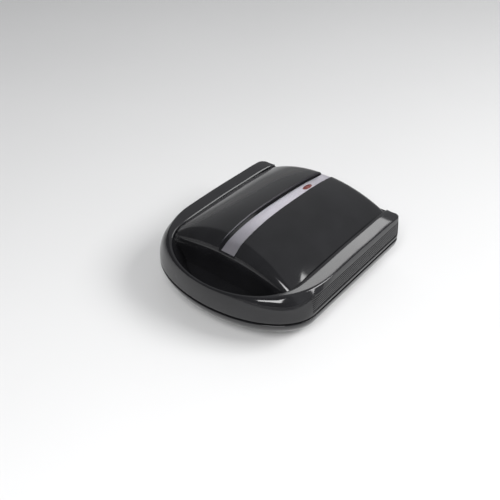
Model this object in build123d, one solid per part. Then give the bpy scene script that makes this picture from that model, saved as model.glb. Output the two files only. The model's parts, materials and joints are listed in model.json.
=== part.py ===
from build123d import *
from math import hypot, sqrt
import os

# Electric nut cookie maker, closed. Millimetres, +Z up, front towards -Y.
# Every form is drawn with z = 0 on the parting plane between the two halves and
# y = 0 on the rear of the rim, and moved to the middle of its footprint at the end.

# Overall sizes
body_width = 250.0
body_depth = 277.5
rail_width = 25.7            # flat rail beside the lid's cover
lower_depth = 39.0           # parting plane down to the underside of the base
foot_height = 5.0
parting_gap = 3.0
wall = 2.6
fit_gap = 0.5                # slip clearance between moulded parts

# Lid band: rail, side panels and front grip in one ring
rim_half = body_width / 2
front_round = 71.5           # depth of the half-elliptical front
rear_corner = 12.0
grip_height = 29.8
grip_slope = 8.0             # how far the grip's crest lies behind its foot
rail_rise = 38.0
panel_depth = 0.8
panel_front = 212.0
panel_rear = 8.0
panel_low = 5.5
panel_high = 29.0
panel_groove = 0.6           # deeper again between the panel's ribs
rib_pitch = 3.0
rib_height = 1.6

# Cover with its channel and trim strip
cover_half = rim_half - rail_width
cover_crown = 68.8
cover_edge = 37.0
cover_seat = 31.3            # height of the ledge that carries the cover
seam_gap = 0.9
channel_front_half = 13.5
channel_rear_half = 11.0
channel_depth = 7.1
strip_thick = 0.8
strip_front_half = 10.3
strip_rear_half = 8.6
strip_end = 222.4
lens_y = 53.0
lens_half = 4.0
lens_length = 19.0
cover_wall_foot = 4.6        # foot of the cover's front wall, just above the frame's deck

# Finger opening
opening_rear = 227.0
opening_half = 82.0
grip_base = 24.5             # front to back, at the parting plane
opening_lean = 0.85          # slope of the base's wall behind the opening
base_grip_depth = 17.0

# Mould plates
columns = 4
rows = 6
column_pitch = 54.0
row_pitch = 31.0
nut_length = 41.0
nut_width = 28.0
nut_sides = 16
shell_thick = 3.5
plate_thick = 3.5
plate_half = 108.0
plate_rear = 11.0
plate_front = 212.0
plate_gap = 1.6
plate_corner = 10.0
well_wall = 3.0

# Heating and wiring
heater_radius = 3.25
heater_bend = 20.0
heater_rear = 40.0
heater_front = 178.0
shield_thick = 0.8
shield_half = 84.0
shield_rear = 30.0
shield_front = 186.0
shield_rim = 3.0
inlet_x = 84.0
inlet_z = -22.0
inlet_radius = 5.0
inlet_face = -1.5            # outer face of the flat pad round the inlet
inlet_inside = -10.5

# Hinge
hinge_back = 8.0
hinge_radius = 6.5
hinge_half = 43.0
ear_thick = 12.0
ear_gap = 1.0
pin_radius = 2.0
pin_clearance = 0.05

# Screws and feet
screw_radius = 1.5
screw_head = 3.2
boss_radius = 4.0
foot_radius = 9.0

total_depth = body_depth + hinge_back + hinge_radius
rear_y = total_depth / 2 - hinge_back - hinge_radius
parting_z = lower_depth + foot_height
half_gap = parting_gap / 2
nut_radius = nut_width / 2
bump_radius = nut_radius - shell_thick
grip_start = body_depth - front_round
crest_y = body_depth - grip_slope
cover_start = crest_y - front_round * 0.925
row_first = plate_rear + 6.0 + nut_radius
screw_x = plate_half - 5.0
screw_rear = plate_rear + 6.0
screw_front = plate_front - 3.5
trough_low = nut_radius + well_wall
column_x = [(i - (columns - 1) / 2) * column_pitch for i in range(columns)]
row_y = [-(row_first + i * row_pitch) for i in range(rows)]


def d_wire(half, start, front, z, back=0.0, corner=0.0):
    """Outline with straight sides and a half-elliptical front, at height z."""
    edges = [EllipticalCenterArc((0, -start), half, front - start, start_angle=180, arc_size=180)]
    edges.append(Line((half, -start), (half, -back - corner)))
    if corner:
        edges.append(CenterArc((half - corner, -back - corner), corner, 0, 90))
    edges.append(Line((half - corner, -back), (corner - half, -back)))
    if corner:
        edges.append(CenterArc((corner - half, -back - corner), corner, 90, 90))
    edges.append(Line((-half, -back - corner), (-half, -start)))
    return Wire([e.edge() for e in edges]).moved(Pos(0, 0, z))


def d_prism(half, start, front, low, high, back=0.0):
    """Straight-sided block on the same kind of outline."""
    face = Face(d_wire(half, start, front, low, back))
    return extrude(face, amount=high - low, dir=(0, 0, 1))


def side_prism(points, half):
    """Block whose side view is a polygon of (y, z) points, 2 x half wide."""
    wire = Wire.make_polygon([(-half, y, z) for y, z in points], close=True)
    return extrude(Face(wire), amount=2 * half, dir=(1, 0, 0))


def box_between(low, high):
    """Box from its lowest corner to its highest."""
    size = [b - a for a, b in zip(low, high)]
    middle = [(a + b) / 2 for a, b in zip(low, high)]
    return Pos(*middle) * Box(*size)


def rod(start, end, radius):
    """Round bar between two points."""
    a, b = Vector(*start), Vector(*end)
    return extrude(Plane(origin=a, z_dir=b - a) * Circle(radius), amount=(b - a).length)


# Lid band

def rail_top(drop):
    """Side view of the band's upper surface, as a block below it."""
    top = grip_height
    stations = [
        (12, rail_rise - 7.5),
        (0, rail_rise - 4.5),
        (-50, rail_rise - 1.0),
        (-100, rail_rise),
        (-150, rail_rise - 0.4),
        (-190, rail_rise - 1.4),
        (-225, (rail_rise + top) / 2 + 0.8),
        (-crest_y, top),
        (-crest_y - 20, top - 3.0),
    ]
    points = [(-160, y, z - drop) for y, z in stations]
    edges = [
        Spline(*points).edge(),
        Line(points[-1], (-160, points[-1][1], -20)).edge(),
        Line((-160, points[-1][1], -20), (-160, points[0][1], -20)).edge(),
        Line((-160, points[0][1], -20), points[0]).edge(),
    ]
    return extrude(Face(Wire(edges)), amount=320, dir=(1, 0, 0))


def band_form(inset):
    """The band as a full block, drawn in by the inset."""
    sections = [
        (half_gap, 0.0, 0.0, 0.2),
        (12, 0.3, 2.0, 1.1),
        (22, 0.8, 8.0, 2.7),
        (30, 1.4, 20.0, 4.7),
        (36, 2.0, 38.0, 6.9),
        (44, 2.8, 66.0, 10.5),
    ]
    wires = []
    for z, draw, back, front in sections:
        half = rim_half - draw - inset
        reach = body_depth - front - inset
        wires.append(d_wire(half, grip_start - back, reach, z, inset, rear_corner - inset))
    return Solid.make_loft(wires) & rail_top(inset)


def opening_cone(grow):
    """Space of the finger opening without its rear side, widest at its top."""
    crest_half = cover_half
    low, high = -4.0, 70.0
    rise = grip_height - half_gap

    def at(z):
        share = (z - half_gap) / rise
        half = opening_half + (crest_half - opening_half) * share
        front = body_depth - grip_base + (crest_y - body_depth + grip_base) * share
        return d_wire(half + grow, cover_start, front + grow, z, 100)

    cone = Solid.make_loft([at(low), at(grip_height)], ruled=True)
    top = d_prism(crest_half + grow, cover_start, crest_y + grow, grip_height, high, 100)
    return cone + top


def opening_form(grow):
    """Finger opening through the lid band."""
    return opening_cone(grow) & box_between((-140, -330, -10), (140, -opening_rear + grow, 80))


def side_panels(body):
    """Ribbed panels let into both sides of the band, behind the grip."""
    middle = box_between((-110, -300, 0), (110, 20, 60))
    zone = box_between((-140, -panel_front, panel_low), (140, -panel_rear, panel_high)) - middle
    body -= (band_form(0) - band_form(panel_depth)) & zone
    skin = (band_form(0) - band_form(panel_depth + panel_groove)) - middle
    count = int((panel_high - panel_low) / rib_pitch)
    grooves = []
    for i in range(count):
        low = panel_low + rib_height + i * rib_pitch
        high = low + rib_pitch - rib_height
        grooves.append(box_between((-140, -panel_front + 3, low), (140, -panel_rear - 3, high)))
    return body - (skin & grooves)


def deck(form, opening, low, high):
    """Flat flange between an outer wall and the mould plate."""
    slab = form & box_between((-140, -330, low), (140, 20, high))
    return slab - opening - plate_window(low - 1, high + 1)


def plate_window(low, high):
    """Space for a mould plate in its deck."""
    block = box_between(
        (-plate_half - fit_gap, -plate_front - fit_gap, low),
        (plate_half + fit_gap, -plate_rear + fit_gap, high),
    )
    return fillet(block.edges().filter_by(Axis.Z), plate_corner + fit_gap)


def lid_frame():
    """Ring of rails and grip that carries the cover, the plate and the hinge."""
    outer = band_form(0) - opening_form(0)
    inner = band_form(wall) - opening_form(wall)
    body = side_panels(outer - inner)
    deck_top = half_gap + wall
    front_slot = box_between(
        (-140, -opening_rear - 1, deck_top), (140, -opening_rear + wall + fit_gap, cover_seat)
    )
    body -= opening_cone(0) & front_slot
    body += deck(band_form(0), opening_form(0), half_gap, deck_top)

    ledge = 6.0
    ring = d_prism(cover_half + 1.5, cover_start, crest_y, cover_seat - 4, cover_seat + 8)
    ring -= d_prism(cover_half - ledge, cover_start, crest_y - ledge, 0, 80, ledge)
    ring &= box_between((-140, -opening_rear + 3.5, 0), (140, 10, 80))
    body += ring & band_form(0.4)
    window = d_prism(cover_half - ledge, cover_start, crest_y - ledge, cover_seat - 4, 80, ledge)
    body -= window & box_between((-140, -opening_rear, 0), (140, 10, 80))
    body -= d_prism(cover_half, cover_start, crest_y, cover_seat, 80, -5)

    for x, y in plate_screw_places():
        body += rod((x, y, plate_back()), (x, y, cover_seat + 1), boss_radius) & band_form(0.4)
    for x, y in cover_screw_places():
        side = 1 if x > 0 else -1
        low = (min(x - 6, x + side * 8), y - 6, cover_seat - 3)
        high = (max(x + 6, x + side * 8), y + 6, cover_seat)
        body += box_between(low, high)
        body -= rod((x, y, cover_seat - 4), (x, y, cover_seat + 1), screw_radius + 0.2)
    for x, y in plate_screw_places():
        body -= rod((x, y, plate_back() - 1), (x, y, plate_back() + 10), screw_radius)
    return hinge_barrel(body)


def hinge_barrel(body):
    """Barrel behind the lid, bored for the two pins."""
    axis_y = hinge_back
    barrel = rod((-hinge_half, axis_y, 0), (hinge_half, axis_y, 0), hinge_radius)
    web = box_between((-hinge_half, -wall / 2, half_gap), (hinge_half, axis_y, hinge_radius))
    body += barrel + web
    bore = pin_radius + pin_clearance
    body -= rod((-hinge_half - 1, axis_y, 0), (-hinge_half + 11, axis_y, 0), bore)
    body -= rod((hinge_half - 11, axis_y, 0), (hinge_half + 1, axis_y, 0), bore)
    return body


# Cover

crown_line = [
    (1.0, 44.0), (2.3, 51.0), (7.0, 57.0), (18.0, 60.6), (50.0, 64.8), (100.0, 68.0),
    (147.0, 68.8), (180.0, 66.4), (203.0, 62.0), (214.0, 58.2), (221.5, 52.0),
    (225.6, 44.5), (227.0, 36.0),
]
edge_line = [
    (1.0, 24.0), (2.0, 28.0), (5.5, 31.5), (16.0, 33.8), (50.0, 36.2), (100.0, 37.2),
    (147.0, 37.2), (180.0, 36.6), (203.0, 35.0), (214.0, 33.0), (221.5, 29.6),
    (225.6, 24.0), (227.0, 18.0),
]


def cover_stations(share, drop):
    """Side view of the cover's top, between its edge (0) and its crown (1)."""
    scale = (cover_crown - cover_edge) / (68.8 - 37.0)
    middle = opening_rear / 2
    shrink = (middle - drop) / middle
    points = []
    for (y, edge), (_, crown) in zip(edge_line, crown_line):
        z = cover_edge + (edge - 37.0) + (crown - edge) * share * scale
        reach = y * opening_rear / 227.0
        points.append((-middle - (reach - middle) * shrink, z - drop))
    return points


def arch(x):
    """Height share of the cover's cross curve: 1 in the middle, 0 at its edge."""
    sag = cover_crown - cover_edge
    radius = (cover_half**2 + sag**2) / (2 * sag)
    return (sqrt(radius**2 - x**2) - (radius - sag)) / sag


def cover_form(inset):
    """The cover as a full block, drawn in by the inset."""
    low = -20.0
    wires = []
    for share in (-1.03, -0.85, -0.6, -0.32, 0, 0.32, 0.6, 0.85, 1.03):
        x = share * cover_half
        points = [(x, y, z) for y, z in cover_stations(arch(x), inset)]
        rear, front = points[0][1], points[-1][1]
        edges = [
            Spline(*points).edge(),
            Line(points[-1], (x, front, low)).edge(),
            Line((x, front, low), (x, rear, low)).edge(),
            Line((x, rear, low), points[0]).edge(),
        ]
        wires.append(Wire(edges))
    body = Solid.make_loft(wires)
    plan = d_prism(
        cover_half - seam_gap - inset, cover_start, crest_y - seam_gap - inset, low, 90, 0
    )
    return body & plan


def channel_form(grow, low_drop):
    """Space of the long channel, from its floor upwards."""
    line = cover_stations(arch(0), 0)[3:10]
    line = [(y, z - channel_depth - low_drop) for y, z in line]
    rear_drop = line[0][1] - 5.0
    points = [(-40, 10, rear_drop)]
    points += [(-40, y, z) for y, z in line]
    end = strip_end + 0.3 + grow
    last = line[-1]
    slope = (line[-1][1] - line[-2][1]) / (line[-1][0] - line[-2][0])
    points += [(-40, -end, last[1] + slope * 1.25 * (-end - last[0]))]
    edges = [
        Spline(*points).edge(),
        Line(points[-1], (-40, -end, 90)).edge(),
        Line((-40, -end, 90), (-40, 10, 90)).edge(),
        Line((-40, 10, 90), points[0]).edge(),
    ]
    side = extrude(Face(Wire(edges)), amount=80, dir=(1, 0, 0))
    return side & channel_plan(channel_front_half + grow, channel_rear_half + grow, end)


def channel_plan(front_half, rear_half, end):
    """Tapered plan of the channel or the strip, as a tall block."""
    outline = Wire.make_polygon(
        [(-front_half, -end, 0), (front_half, -end, 0), (rear_half, 2, 0), (-rear_half, 2, 0)],
        close=True,
    )
    return extrude(Face(outline), amount=90, dir=(0, 0, 1))


def lens_prism(grow, low, high):
    """Oval block of the indicator lens."""
    oval = Ellipse(lens_half + grow, lens_length / 2 + grow)
    return Pos(0, -lens_y, low) * extrude(oval, amount=high - low)


def lid_cover():
    """Domed cover with its front wall, which is the rear side of the opening."""
    inner = cover_form(wall) - channel_form(2.2, 2.2)
    body = cover_form(0) - inner
    body -= channel_form(0, 0)
    body -= box_between((-140, -opening_rear + wall + fit_gap, -30), (140, 20, cover_seat))
    body -= box_between((-140, -330, -30), (140, 20, cover_wall_foot))
    tips = box_between((-140, -330, -30), (140, 20, cover_seat)) - opening_cone(-fit_gap)
    body -= tips
    body -= lens_prism(0.2, 30, 90)
    for x, y in cover_screw_places():
        post = rod((x, y, cover_seat), (x, y, 60), boss_radius) & cover_form(1.0)
        body += post - rod((x, y, cover_seat - 1), (x, y, cover_seat + 5), screw_radius)
    return body


def trim_strip():
    """Thin metal strip laid on the floor of the channel."""
    body = channel_form(0, 0) - channel_form(0, -strip_thick)
    body &= channel_plan(strip_front_half, strip_rear_half, strip_end)
    body &= box_between((-40, -300, 0), (40, -3.0, 90))
    return body - lens_prism(0.2, 30, 90)


def strip_height():
    """Top of the strip at the indicator lens."""
    return cover_stations(arch(0), 0)[4][1] - channel_depth + strip_thick


# Mould plates

def nut_form(radius, length):
    """Whole walnut along X, as sixteen-sided rings that shrink towards its blunt ends."""
    rings = [(-1.0, 0.2), (-0.93, 0.42), (-0.74, 0.70), (-0.42, 0.92)]
    rings += [(-share, size) for share, size in reversed(rings)]
    wires = []
    for share, size in rings:
        plane = Plane(origin=(share * length / 2, 0, 0), x_dir=(0, 1, 0), z_dir=(1, 0, 0))
        polygon = plane * RegularPolygon(radius * size, nut_sides)
        wires.append(polygon.face().outer_wire())
    return Solid.make_loft(wires, ruled=True)


def plate_outline(low, high):
    """Plate with rounded corners."""
    block = box_between((-plate_half, -plate_front, low), (plate_half, -plate_rear, high))
    return fillet(block.edges().filter_by(Axis.Z), plate_corner)


def plate_back():
    """Height of the upper plate's rear face."""
    return plate_gap / 2 + plate_thick


def plate_screw_places():
    """Places of the four screws of either plate."""
    return [(s * screw_x, -y) for s in (-1, 1) for y in (screw_rear, screw_front)]


def cover_screw_places():
    """Places of the four screws that hold the cover down."""
    return [(s * (cover_half - 11.5), y) for s in (-1, 1) for y in (-45.0, -170.0)]


def lower_mould_plate():
    """Plate with the shell wells, and a trough body behind each column."""
    top = -plate_gap / 2
    body = plate_outline(top - plate_thick, top)
    for x in column_x:
        low = (x - nut_length / 2 - 2.5, row_y[-1] - nut_radius - 1.5, -trough_low)
        high = (x + nut_length / 2 + 2.5, row_y[0] + nut_radius + 1.5, top - 1)
        trough = box_between(low, high)
        body += fillet(trough.edges().filter_by(Axis.Y).group_by(Axis.Z)[0], 4)
    well = nut_form(nut_radius, nut_length)
    for x in column_x:
        body -= [Pos(x, y, 0) * well for y in row_y]
    for x, y in plate_screw_places():
        body -= rod((x, y, top - plate_thick - 1), (x, y, top + 1), screw_radius + 0.2)
        body -= rod((x, y, -trough_low - 1), (x, y, top - plate_thick), boss_radius + fit_gap)
    return body


def upper_mould_plate():
    """Plate with the bumps that hollow the shells."""
    low, high = plate_gap / 2, plate_back()
    body = plate_outline(low, high)
    bump = nut_form(bump_radius, nut_length - 2 * shell_thick)
    bump &= box_between((-40, -40, -40), (40, 40, low + 1))
    for x in column_x:
        body += [Pos(x, y, 0) * bump for y in row_y]
    for x, y in plate_screw_places():
        body -= rod((x, y, low - 1), (x, y, high + 1), screw_radius + 0.2)
    return body


def plate_screws(sign):
    """Four screws through a plate into the bosses behind it."""
    face = sign * plate_gap / 2
    group = []
    for x, y in plate_screw_places():
        shank = rod((x, y, face), (x, y, face + sign * (plate_thick + 8)), screw_radius)
        sunk = extrude(
            Plane(origin=(x, y, face), z_dir=(0, 0, -sign)) * Circle(screw_head), amount=0.6
        )
        group.append(shank + sunk)
    return Compound(group)


# Base

base_sections = [
    (-half_gap, 0.0, 206.0, 277.4, 0.0),
    (-8.0, -1.0, 205.0, 275.8, 0.8),
    (-17.0, -5.0, 202.0, 270.5, 3.5),
    (-28.0, -12.0, 196.0, 259.0, 8.0),
]


def base_form(inset):
    """The base as a full block, drawn in by the inset."""
    rows_z = base_sections + [(-lower_depth, -21.0, 188.0, 243.0, 14.0)]
    wires = []
    for z, grow, start, front, back in rows_z:
        y_start = start + grip_start - 206.0
        y_front = front + body_depth - 277.5
        height = z + (inset if z == -lower_depth else 0.0)
        half = rim_half + grow - inset
        corner = rear_corner - inset
        wires.append(d_wire(half, y_start, y_front - inset, height, back + inset, corner))
    return Solid.make_loft(wires)


def base_front_cut(grow):
    """Space in front of the base's leaning front wall, below and inside its grip."""
    lean = grow * hypot(1, opening_lean)
    top = 5.0
    start = -opening_rear + 5.0 + lean

    def wall_y(z):
        return start + opening_lean * (-half_gap - z)

    floor = -lower_depth - 20
    below = -base_grip_depth + grow
    under = side_prism(
        [(-340, below), (wall_y(below), below), (wall_y(floor), floor), (-340, floor)], 170
    )
    through = side_prism(
        [(-340, top), (wall_y(top), top), (wall_y(floor), floor), (-340, floor)], 170
    )
    front = body_depth - grip_base
    lens = d_prism(opening_half + grow, cover_start, front + grow, floor - 1, top + 1, 100)
    return under + (through & lens)


def lower_housing():
    """Base shell with its grip, bosses, hinge ears and inlet seat."""
    outer = base_form(0) - base_front_cut(0)
    body = outer - (base_form(wall) - base_front_cut(wall))
    body += deck(base_form(0), base_front_cut(0), -half_gap - wall, -half_gap)
    floor = -lower_depth + wall
    back = -plate_gap / 2 - plate_thick
    for x, y in plate_screw_places():
        body += rod((x, y, floor - 1), (x, y, back), boss_radius) & outer
        body -= rod((x, y, back - 10), (x, y, back + 1), screw_radius)
    for x, y in shield_posts():
        body += rod((x, y, floor - 1), (x, y, shield_height()), 4.0)
    for x, y in foot_places():
        body -= rod((x, y, -lower_depth - 1), (x, y, floor + 1), 2.6)
    for side in (-1, 1):
        body = hinge_ear(body, side)
    body += inlet_seat()
    body -= rod((inlet_x, 10, inlet_z), (inlet_x, -20, inlet_z), inlet_radius)
    return body


def hinge_ear(body, side):
    """One of the two ears that carry the hinge pins."""
    inside = side * (hinge_half + ear_gap)
    outside = side * (hinge_half + ear_gap + ear_thick)
    low, high = min(inside, outside), max(inside, outside)
    ear = rod((low, hinge_back, 0), (high, hinge_back, 0), hinge_radius)
    web = box_between((low, -wall / 2, -14), (high, hinge_back, -half_gap - 0.2))
    web = chamfer(web.edges().filter_by(Axis.X).group_by(Axis.Y)[-1].sort_by(Axis.Z)[0], 7.5)
    body += ear + web
    return body - rod((low - 1, hinge_back, 0), (high + 1, hinge_back, 0), pin_radius)


def hinge_pin(side):
    """Pin pressed into one ear, turning in the lid's barrel."""
    inner = side * (hinge_half - 10)
    outer = side * (hinge_half + ear_gap + ear_thick)
    body = rod((inner, hinge_back, 0), (outer, hinge_back, 0), pin_radius)
    head = rod((outer, hinge_back, 0), (outer + side * 1.2, hinge_back, 0), pin_radius + 1.4)
    return body + head


def inlet_seat():
    """Upright pad through the sloping rear wall, for the inlet bush."""
    pad = box_between(
        (inlet_x - 9, inlet_inside, inlet_z - 9), (inlet_x + 9, inlet_face, inlet_z + 9)
    )
    return fillet(pad.edges().filter_by(Axis.Y), 3)


def inlet_bush():
    """Ribbed rubber bush in the rear wall, where the supply lead enters."""
    body = rod((inlet_x, inlet_inside, inlet_z), (inlet_x, inlet_face, inlet_z), inlet_radius)
    for i in range(3):
        start = inlet_face + 3.5 * i
        body += rod((inlet_x, start, inlet_z), (inlet_x, start + 2.2, inlet_z), 6.8 - 0.5 * i)
    body += rod((inlet_x, inlet_face, inlet_z), (inlet_x, inlet_face + 9, inlet_z), 5.2)
    inner_end = inlet_inside - 3.0
    body += rod((inlet_x, inner_end, inlet_z), (inlet_x, inlet_inside, inlet_z), 6.3)
    return body - rod((inlet_x, -20, inlet_z), (inlet_x, 20, inlet_z), 3.4)


def foot_places():
    """Places of the four feet, front pair first."""
    return [(-72.0, -168.0), (72.0, -168.0), (-78.0, -34.0), (78.0, -34.0)]


def foot(x, y):
    """Rubber foot with a barbed stem through the floor."""
    low = -lower_depth - foot_height
    pad = rod((x, y, low), (x, y, -lower_depth), foot_radius)
    pad = chamfer(pad.edges().group_by(Axis.Z)[0], 1.0)
    pad += rod((x, y, -lower_depth), (x, y, -lower_depth + wall), 2.6)
    return pad + rod((x, y, -lower_depth + wall), (x, y, -lower_depth + wall + 2), 3.4)


# Heating

def heater_height(sign):
    """Height of a heater's centre line."""
    if sign < 0:
        return -trough_low - heater_radius
    return plate_back() + heater_radius


def heater(sign):
    """Sheathed element bent into a U, with a terminal pin at each end."""
    z = heater_height(sign)
    x = column_pitch
    path = FilletPolyline(
        (-x, -heater_rear, z),
        (-x, -heater_front, z),
        (x, -heater_front, z),
        (x, -heater_rear, z),
        radius=heater_bend,
    )
    section = Plane(origin=(-x, -heater_rear, z), z_dir=(0, -1, 0)) * Circle(heater_radius)
    body = sweep(section, path=path)
    for side in (-1, 1):
        body += rod((side * x, -heater_rear, z), (side * x, -heater_rear + 12, z), 1.4)
    return body


def heater_clamps(sign):
    """Saddles that press a heater against its plate."""
    z = heater_height(sign)
    base = z - sign * heater_radius
    group = []
    for x in (-column_pitch, column_pitch):
        for y in (-70.0, -150.0):
            ring = rod((x, y - 4, z), (x, y + 4, z), heater_radius + 1.2)
            ring -= box_between((x - 9, y - 9, min(base, z - sign * 9)),
                                (x + 9, y + 9, max(base, z - sign * 9)))
            low = min(base, base + sign * 1.2)
            flange = box_between((x - 14, y - 4, low), (x + 14, y + 4, low + 1.2))
            saddle = ring + flange
            saddle -= rod((x, y - 5, z), (x, y + 5, z), heater_radius)
            saddle -= box_between((x - heater_radius, y - 5, min(base, z)),
                                  (x + heater_radius, y + 5, max(base, z)))
            group.append(saddle)
    return Compound(group)


def shield_posts():
    """Posts of the base that carry its heat shield."""
    return [(s * 62.0, y) for s in (-1, 1) for y in (-60.0, -150.0)]


def shield_height():
    """Underside of the lower heat shield."""
    return -trough_low - 2 * heater_radius - 5.0


def heat_shield(low, sign):
    """Bright sheet with a folded rim, between a heater and its housing."""
    tall = shield_thick + shield_rim
    tray = box_between((-shield_half, -shield_front, low), (shield_half, -shield_rear, low + tall))
    hollow_low = low + shield_thick if sign < 0 else low - 1
    hollow_high = low + tall + 1 if sign < 0 else low + shield_rim
    return tray - box_between(
        (-shield_half + shield_thick, -shield_front + shield_thick, hollow_low),
        (shield_half - shield_thick, -shield_rear - shield_thick, hollow_high),
    )


def upper_heat_shield():
    """Upper shield, standing on four folded legs on the plate."""
    low = plate_back() + 2 * heater_radius + 3.0
    body = heat_shield(low, 1)
    for x in (-shield_half, shield_half - shield_thick):
        for y in (-60.0, -150.0):
            body += box_between((x, y - 6, plate_back()), (x + shield_thick, y + 6, low + 2))
    return body


def thermostat():
    """Bimetal thermostat against the underside of the plate."""
    x, y = column_x[1], -105.0
    body = rod((x, y, -trough_low - 4.5), (x, y, -trough_low), 8.0)
    body += box_between((x - 3, y - 14, -trough_low - 1.0), (x + 3, y + 14, -trough_low))
    return body


def thermal_fuse():
    """Thermal fuse in its clip against the plate."""
    x, y = column_x[2], -105.0
    low = -trough_low - 3.2
    body = box_between((x - 4, y - 8, low), (x + 4, y + 8, -trough_low))
    return body + rod((x, y - 14, low + 1.6), (x, y + 14, low + 1.6), 1.2)


def terminal_block():
    """Terminal block on the floor behind the heater's ends."""
    floor = -lower_depth + wall
    front, rear = -shield_rear + 1.0, -shield_rear + 12.5
    body = box_between((18, front, floor), (58, rear, floor + 10))
    for i in range(3):
        x = 24.7 + i * 13.3
        middle = (front + rear) / 2
        body -= rod((x, front - 1, floor + 4), (x, rear + 1, floor + 4), 1.8)
        body -= rod((x, middle, floor + 6), (x, middle, floor + 12), 1.9)
    return body


# Lid fittings

def indicator_lens():
    """Oval red lens standing just proud of the strip."""
    top = strip_height() + 1.0
    body = lens_prism(0, top - 4.6, top)
    return fillet(body.edges().group_by(Axis.Z)[-1], 0.7)


def lamp_height():
    """Height of the lamp's centre line below the channel."""
    return strip_height() - strip_thick - 2.2 - 5.4


def lamp_holder():
    """Clip below the channel that holds the lamp under the lens."""
    z = lamp_height()
    body = box_between((-7, -lens_y - 11, z - 4), (7, -lens_y + 11, z + 8))
    body -= channel_form(2.2, 2.2)
    body -= rod((0, -lens_y - 12, z), (0, -lens_y + 12, z), 3.0)
    body -= box_between((-2.2, -lens_y - 12, z), (2.2, -lens_y + 12, z + 10))
    return body - lens_prism(0.2, z + 3.5, z + 20)


def indicator_lamp():
    """Small glass glow lamp."""
    z = lamp_height()
    return rod((0, -lens_y - 9, z), (0, -lens_y + 9, z), 3.0)


def cover_screws():
    """Four screws that hold the cover to the lid's ledge."""
    group = []
    for x, y in cover_screw_places():
        under = cover_seat - 3
        shank = rod((x, y, under), (x, y, cover_seat + 5), screw_radius)
        group.append(shank + rod((x, y, under - 1.8), (x, y, under), screw_head))
    return Compound(group)


def save(name, shape):
    """Move a piece from the parting plane's frame to the part's and write it."""
    moved = shape.moved(Pos(0, rear_y, parting_z))
    export_step(moved, f"parts/{name}.step")


os.makedirs("parts", exist_ok=True)
save("lid_frame", lid_frame())
save("lid_cover", lid_cover())
save("trim_strip", trim_strip())
save("indicator_lens", indicator_lens())
save("indicator_lamp", indicator_lamp())
save("lamp_holder", lamp_holder())
save("cover_screws", cover_screws())
save("upper_mould_plate", upper_mould_plate())
save("upper_plate_screws", plate_screws(1))
save("upper_heater", heater(1))
save("upper_heater_clamps", heater_clamps(1))
save("upper_heat_shield", upper_heat_shield())
save("lower_housing", lower_housing())
save("lower_mould_plate", lower_mould_plate())
save("lower_plate_screws", plate_screws(-1))
save("lower_heater", heater(-1))
save("lower_heater_clamps", heater_clamps(-1))
save("lower_heat_shield", heat_shield(shield_height(), -1))
save("thermostat", thermostat())
save("thermal_fuse", thermal_fuse())
save("terminal_block", terminal_block())
save("inlet_bush", inlet_bush())
save("hinge_pin_left", hinge_pin(-1))
save("hinge_pin_right", hinge_pin(1))
names = ("foot_front_left", "foot_front_right", "foot_rear_left", "foot_rear_right")
for name, (x, y) in zip(names, foot_places()):
    save(name, foot(x, y))
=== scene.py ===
import json
import math

import bmesh
import bpy
import numpy as np
from mathutils import Matrix, Vector, noise


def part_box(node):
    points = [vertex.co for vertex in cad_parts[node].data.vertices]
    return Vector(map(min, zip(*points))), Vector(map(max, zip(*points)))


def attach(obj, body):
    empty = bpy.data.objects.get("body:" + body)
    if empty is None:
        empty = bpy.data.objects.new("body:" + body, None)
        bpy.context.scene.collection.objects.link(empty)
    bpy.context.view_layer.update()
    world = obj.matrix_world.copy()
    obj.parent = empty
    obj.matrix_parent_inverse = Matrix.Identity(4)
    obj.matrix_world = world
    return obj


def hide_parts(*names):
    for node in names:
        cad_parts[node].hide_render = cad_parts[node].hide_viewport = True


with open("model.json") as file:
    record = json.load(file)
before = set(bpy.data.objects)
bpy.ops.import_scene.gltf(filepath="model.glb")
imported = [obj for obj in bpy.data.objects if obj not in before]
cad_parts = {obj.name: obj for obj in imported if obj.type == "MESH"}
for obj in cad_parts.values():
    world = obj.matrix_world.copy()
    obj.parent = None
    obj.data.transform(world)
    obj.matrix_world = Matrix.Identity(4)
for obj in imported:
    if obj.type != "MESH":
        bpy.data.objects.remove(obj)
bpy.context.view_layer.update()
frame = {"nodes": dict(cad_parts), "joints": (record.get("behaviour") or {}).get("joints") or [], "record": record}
nodes = frame["nodes"]
hinge = frame["joints"][0]["pos_m"]
rimY = hinge[1] * 1000 - 8  # the rear rim edge, 8 mm in front of the hinge axis
partingZ = hinge[2] * 1000  # the plane between the two halves


def place(x, y, z):
    # drawing millimetres (0, 0, 0 = middle of the rear rim edge) to metres in the frame
    return (x / 1000, (y + rimY) / 1000, (z + partingZ) / 1000)


def smoothCurve(points, columns):
    # natural cubic spline through rows of numbers, along their chord length in the first columns
    data = np.array(points, float)
    steps = np.linalg.norm(np.diff(data[:, :columns], axis=0), axis=1)
    t = np.concatenate([[0], np.cumsum(steps)])
    n = len(t)
    h = np.diff(t)
    matrix = np.zeros((n, n))
    right = np.zeros((n, data.shape[1]))
    matrix[0, 0] = matrix[-1, -1] = 1
    for i in range(1, n - 1):
        matrix[i, i - 1], matrix[i, i], matrix[i, i + 1] = h[i - 1], 2 * (h[i - 1] + h[i]), h[i]
        right[i] = 6 * ((data[i + 1] - data[i]) / h[i] - (data[i] - data[i - 1]) / h[i - 1])
    bend = np.linalg.solve(matrix, right)

    def at(value):
        i = int(np.clip(np.searchsorted(t, value) - 1, 0, n - 2))
        a, b = t[i + 1] - value, value - t[i]
        return (bend[i] * a**3 + bend[i + 1] * b**3) / (6 * h[i]) + \
            (data[i] / h[i] - bend[i] * h[i] / 6) * a + (data[i + 1] / h[i] - bend[i + 1] * h[i] / 6) * b

    return at, t[-1]


def deselectAll():
    if bpy.context.object and bpy.context.object.mode != "OBJECT":
        bpy.ops.object.mode_set(mode="OBJECT")
    bpy.ops.object.select_all(action="DESELECT")


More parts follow.
